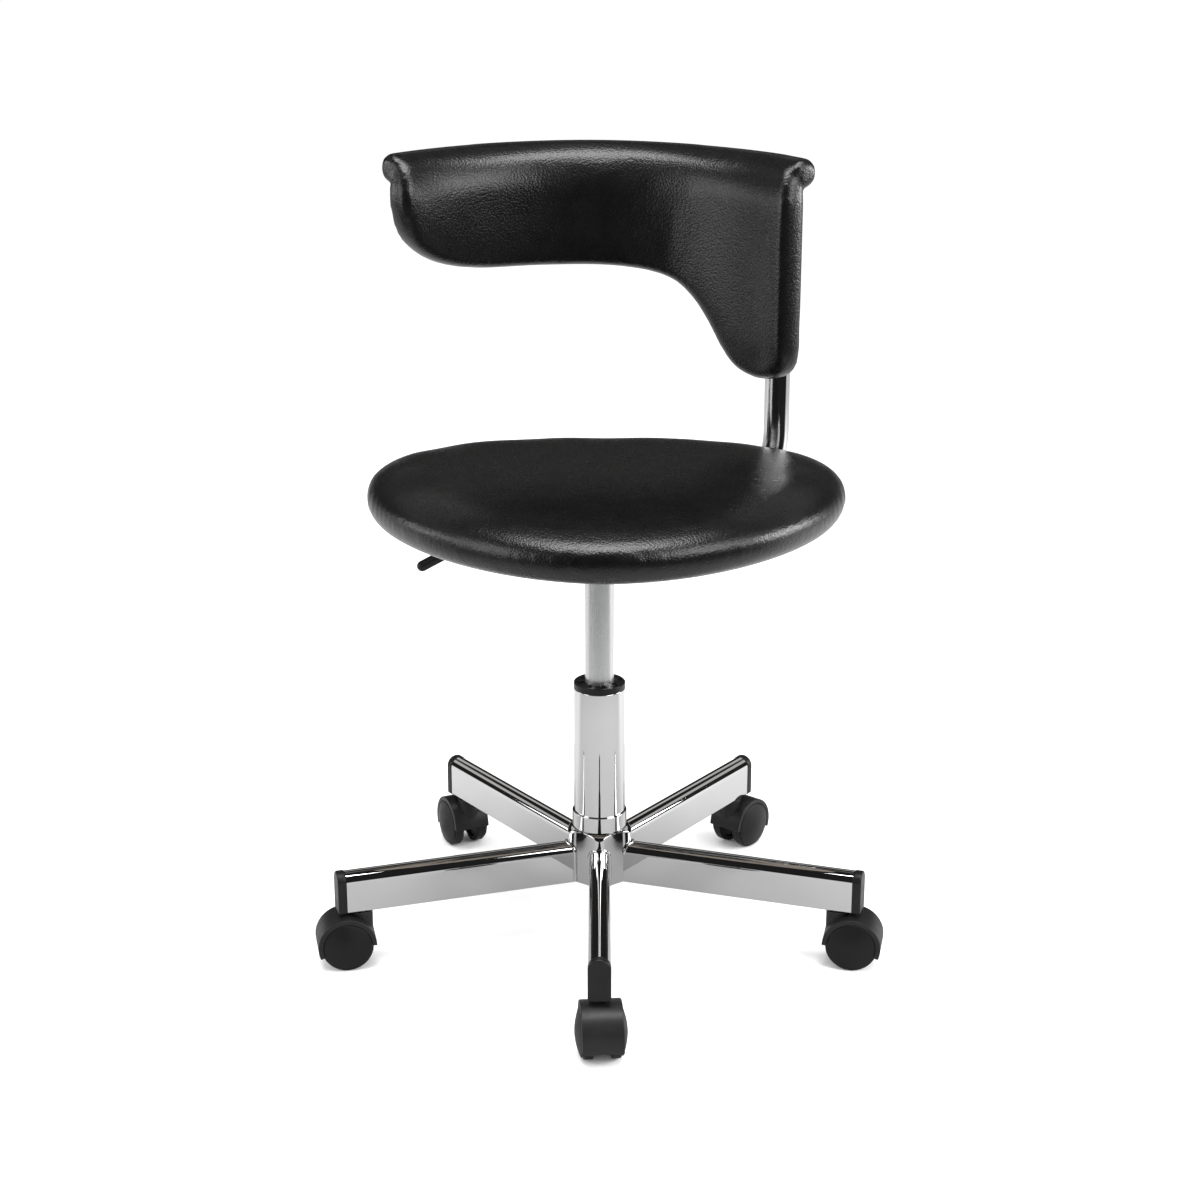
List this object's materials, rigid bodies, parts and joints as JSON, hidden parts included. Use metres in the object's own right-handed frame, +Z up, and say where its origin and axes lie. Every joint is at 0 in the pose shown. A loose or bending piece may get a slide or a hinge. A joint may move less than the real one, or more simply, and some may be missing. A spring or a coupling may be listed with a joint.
{
  "type": "rolling stylist stool",
  "caption": "Salon stool with a round-edged seat, gas lift, chrome star base on twin-wheel casters and a curved L-shaped backrest on a bent tube that swings round the seat.",
  "frame": {"origin": "middle of the stool's footprint box on the floor", "axes": "+Z up, -Y towards the front of the seat and the front caster, +X towards the backrest's upright"},
  "size_m": [0.5526, 0.5297, 0.7562],
  "materials": {
    "chrome": "polished",
    "gas_spring_grey": "satin grey",
    "steel": "plain",
    "black_metal": "satin black",
    "black_plastic": "satin black",
    "caster_wheel": "smooth black",
    "black_leather": "fine grain",
    "plywood": "raw"
  },
  "bodies": {
    "base": {"base_hub": "chrome", "base_arm_1": "chrome", "base_arm_2": "chrome", "base_arm_3": "chrome", "base_arm_4": "chrome", "base_arm_5": "chrome", "arm_end_cap_1": "black_plastic", "arm_end_cap_2": "black_plastic", "arm_end_cap_3": "black_plastic", "arm_end_cap_4": "black_plastic", "arm_end_cap_5": "black_plastic", "column_tube": "chrome", "column_collar": "chrome", "column_bush": "black_plastic", "caster_1_stem": "steel", "caster_2_stem": "steel", "caster_3_stem": "steel", "caster_4_stem": "steel", "caster_5_stem": "steel"},
    "post": {"piston_rod": "steel", "thrust_bearing": "steel", "rod_clip": "steel"},
    "seat": {"gas_cylinder": "gas_spring_grey", "cylinder_gland": "black_plastic", "seat_mechanism": "black_metal", "lever_pin": "steel", "seat_board": "plywood", "seat_cushion": "black_leather", "seat_screw_1": "steel", "seat_screw_2": "steel", "seat_screw_3": "steel", "seat_screw_4": "steel", "swing_clip": "steel"},
    "lever": {"lift_lever": "black_metal"},
    "button": {"release_button": "steel"},
    "back": {"swing_ring": "black_metal", "back_tube": "chrome", "back_shell": "black_plastic", "back_cushion": "black_leather"},
    "caster_1": {"caster_1_hood": "black_plastic", "caster_1_axle": "steel"},
    "caster_1_wheel_a": {"caster_1_wheel_a": "caster_wheel"},
    "caster_1_wheel_b": {"caster_1_wheel_b": "caster_wheel"},
    "caster_2": {"caster_2_hood": "black_plastic", "caster_2_axle": "steel"},
    "caster_2_wheel_a": {"caster_2_wheel_a": "caster_wheel"},
    "caster_2_wheel_b": {"caster_2_wheel_b": "caster_wheel"},
    "caster_3": {"caster_3_hood": "black_plastic", "caster_3_axle": "steel"},
    "caster_3_wheel_a": {"caster_3_wheel_a": "caster_wheel"},
    "caster_3_wheel_b": {"caster_3_wheel_b": "caster_wheel"},
    "caster_4": {"caster_4_hood": "black_plastic", "caster_4_axle": "steel"},
    "caster_4_wheel_a": {"caster_4_wheel_a": "caster_wheel"},
    "caster_4_wheel_b": {"caster_4_wheel_b": "caster_wheel"},
    "caster_5": {"caster_5_hood": "black_plastic", "caster_5_axle": "steel"},
    "caster_5_wheel_a": {"caster_5_wheel_a": "caster_wheel"},
    "caster_5_wheel_b": {"caster_5_wheel_b": "caster_wheel"}
  },
  "joints": [
    {"name": "seat_swivel", "type": "hinge", "parent": "base", "child": "post", "pos_m": [0, 0.02156, 0.062], "axis": [0, 0, 1], "continuous": true},
    {"name": "gas_lift", "type": "slide", "parent": "post", "child": "seat", "axis": [0, 0, 1], "range_m": [-0.105, 0.01]},
    {"name": "lever_tilt", "type": "hinge", "parent": "seat", "child": "lever", "pos_m": [-0.028, 0.02156, 0.4098], "axis": [0, 1, 0], "range_deg": [0, 6], "stiffness_Nm_per_rad": 1},
    {"name": "button_press", "type": "slide", "parent": "seat", "child": "button", "axis": [0, 0, 1], "range_m": [-0.003, 0]},
    {"name": "back_swing", "type": "hinge", "parent": "seat", "child": "back", "pos_m": [0, 0.02156, 0.387], "axis": [0, 0, 1], "range_deg": [0, 100]},
    {"name": "caster_1_swivel", "type": "hinge", "parent": "base", "child": "caster_1", "pos_m": [0, -0.21944, 0.045], "axis": [0, 0, 1], "continuous": true},
    {"name": "caster_1_wheel_a_roll", "type": "hinge", "parent": "caster_1", "child": "caster_1_wheel_a", "pos_m": [0.00139, -0.23538, 0.025], "axis": [0.9962, 0.0872, 0], "continuous": true},
    {"name": "caster_1_wheel_b_roll", "type": "hinge", "parent": "caster_1", "child": "caster_1_wheel_b", "pos_m": [0.00139, -0.23538, 0.025], "axis": [0.9962, 0.0872, 0], "continuous": true},
    {"name": "caster_2_swivel", "type": "hinge", "parent": "base", "child": "caster_2", "pos_m": [0.2292, -0.05291, 0.045], "axis": [0, 0, 1], "continuous": true},
    {"name": "caster_2_wheel_a_roll", "type": "hinge", "parent": "caster_2", "child": "caster_2_wheel_a", "pos_m": [0.24488, -0.0561, 0.025], "axis": [0.1994, 0.9799, 0], "continuous": true},
    {"name": "caster_2_wheel_b_roll", "type": "hinge", "parent": "caster_2", "child": "caster_2_wheel_b", "pos_m": [0.24488, -0.0561, 0.025], "axis": [0.1994, 0.9799, 0], "continuous": true},
    {"name": "caster_3_swivel", "type": "hinge", "parent": "base", "child": "caster_3", "pos_m": [0.14166, 0.21653, 0.045], "axis": [0, 0, 1], "continuous": true},
    {"name": "caster_3_wheel_a_roll", "type": "hinge", "parent": "caster_3", "child": "caster_3_wheel_a", "pos_m": [0.15205, 0.2287, 0.025], "axis": [-0.7604, 0.6494, 0], "continuous": true},
    {"name": "caster_3_wheel_b_roll", "type": "hinge", "parent": "caster_3", "child": "caster_3_wheel_b", "pos_m": [0.15205, 0.2287, 0.025], "axis": [-0.7604, 0.6494, 0], "continuous": true},
    {"name": "caster_4_swivel", "type": "hinge", "parent": "base", "child": "caster_4", "pos_m": [-0.14166, 0.21653, 0.045], "axis": [0, 0, 1], "continuous": true},
    {"name": "caster_4_wheel_a_roll", "type": "hinge", "parent": "caster_4", "child": "caster_4_wheel_a", "pos_m": [-0.14854, 0.23097, 0.025], "axis": [-0.9026, -0.4305, 0], "continuous": true},
    {"name": "caster_4_wheel_b_roll", "type": "hinge", "parent": "caster_4", "child": "caster_4_wheel_b", "pos_m": [-0.14854, 0.23097, 0.025], "axis": [-0.9026, -0.4305, 0], "continuous": true},
    {"name": "caster_5_swivel", "type": "hinge", "parent": "base", "child": "caster_5", "pos_m": [-0.2292, -0.05291, 0.045], "axis": [0, 0, 1], "continuous": true},
    {"name": "caster_5_wheel_a_roll", "type": "hinge", "parent": "caster_5", "child": "caster_5_wheel_a", "pos_m": [-0.24488, -0.0561, 0.025], "axis": [0.1994, -0.9799, 0], "continuous": true},
    {"name": "caster_5_wheel_b_roll", "type": "hinge", "parent": "caster_5", "child": "caster_5_wheel_b", "pos_m": [-0.24488, -0.0561, 0.025], "axis": [0.1994, -0.9799, 0], "continuous": true}
  ],
  "couplings": [
    {"joint": "button_press", "follows": "lever_tilt", "m_per_rad": -0.028}
  ]
}
